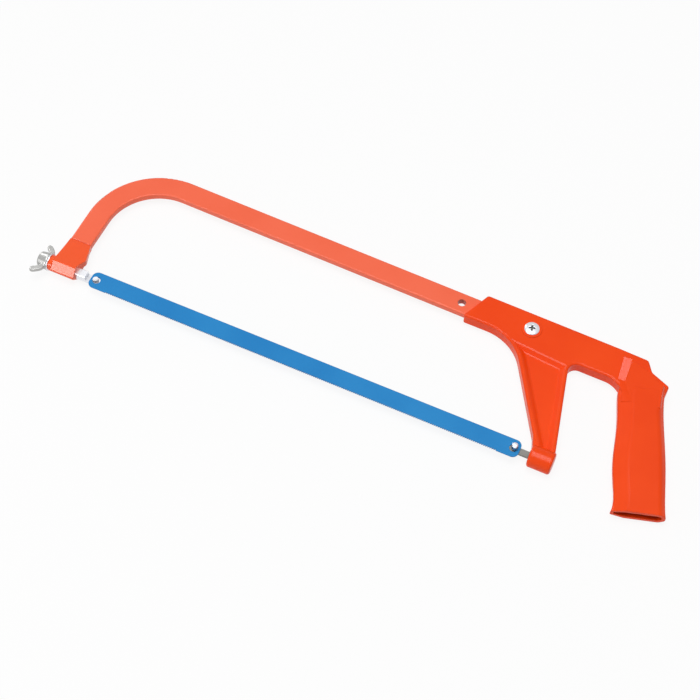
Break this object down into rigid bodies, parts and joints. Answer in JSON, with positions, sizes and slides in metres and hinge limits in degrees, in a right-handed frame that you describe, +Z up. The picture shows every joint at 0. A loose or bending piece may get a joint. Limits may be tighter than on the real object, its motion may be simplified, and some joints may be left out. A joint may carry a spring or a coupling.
{
  "type": "hacksaw",
  "caption": "Hand hacksaw with a flat steel bar frame, a cast pistol-grip handle, and a wing nut that tensions the pinned blade.",
  "frame": {"origin": "bottom centre of the whole saw's bounding box, with the saw lying on its side", "axes": "+X along the blade from the wing nut to the handle, +Y from the blade to the frame bar, +Z up through the saw's side; the teeth point to -Y"},
  "size_m": [0.4474, 0.115, 0.0157],
  "materials": {
    "handle_paint": "semi-gloss",
    "bar_paint": "gloss",
    "bright_zinc": "bright zinc plate",
    "cast_zinc": "satin zinc plate",
    "blade_paint": "satin",
    "dark_steel": "dull"
  },
  "bodies": {
    "frame": {"handle": "handle_paint", "frame_bar": "bar_paint", "front_bracket": "handle_paint", "washer": "bright_zinc", "rear_holder": "dark_steel", "rear_pin": "bright_zinc", "lock_screw": "bright_zinc", "lock_nut": "bright_zinc"},
    "tensioner": {"tension_rod": "bright_zinc", "front_pin": "bright_zinc"},
    "wing_nut": {"wing_nut": "cast_zinc"},
    "blade": {"blade": "blade_paint"}
  },
  "joints": [
    {"name": "wing_nut_turn", "type": "hinge", "parent": "frame", "child": "wing_nut", "pos_m": [-0.21919, -0.04117, 0.00786], "axis": [-1, 0, 0], "range_deg": [0, 450]},
    {"name": "tension_slide", "type": "slide", "parent": "frame", "child": "tensioner", "axis": [1, 0, 0], "range_m": [0, 0.00125]},
    {"name": "blade_lift", "type": "slide", "parent": "frame", "child": "blade", "axis": [0, 0, 1], "range_m": [0, 0.03]}
  ],
  "couplings": [
    {"joint": "tension_slide", "follows": "wing_nut_turn", "m_per_rad": 0.00015915}
  ]
}
